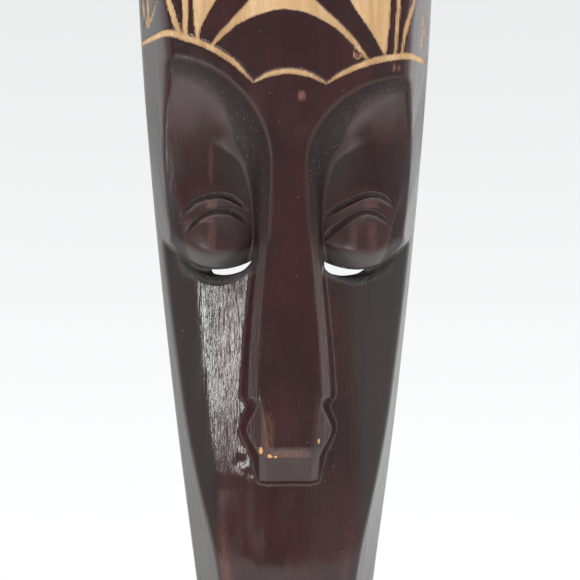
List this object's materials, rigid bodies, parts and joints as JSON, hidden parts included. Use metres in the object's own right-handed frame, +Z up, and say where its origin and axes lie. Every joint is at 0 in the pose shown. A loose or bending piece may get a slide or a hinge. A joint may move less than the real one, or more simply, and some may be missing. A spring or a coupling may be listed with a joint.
{
  "type": "carved wooden mask",
  "caption": "Tall narrow wall mask carved from one hollowed block, with a long nose, half-closed slit eyes, a gouged forehead pattern and a ring hanger on its back.",
  "frame": {"origin": "the point on the wall that the hanging hook stands out from, 45 mm below the crown", "axes": "+Z up the mask's length, the face looks along -Y, +Y into the wall, +X to the viewer's right; the wall is the plane y = 0"},
  "size_m": [0.146, 0.0532, 0.5],
  "materials": {
    "lacquered_wood": "dark red-brown lacquer, with bare pale wood where it is cut through",
    "strap_steel": "zinc-plated sheet steel",
    "ring_steel": "zinc-plated wire",
    "screw_brass": "plain brass, slightly dulled"
  },
  "bodies": {
    "mask": {"mask_body": "lacquered_wood", "hanger_strap": "strap_steel", "upper_screw": "screw_brass", "lower_screw": "screw_brass"},
    "ring": {"hanger_ring": "ring_steel"}
  },
  "joints": [
    {"name": "ring_swing", "type": "hinge", "parent": "mask", "child": "ring", "pos_m": [0, -0.00515, -0.014], "axis": [-1, 0, 0], "range_deg": [0, 178]}
  ]
}
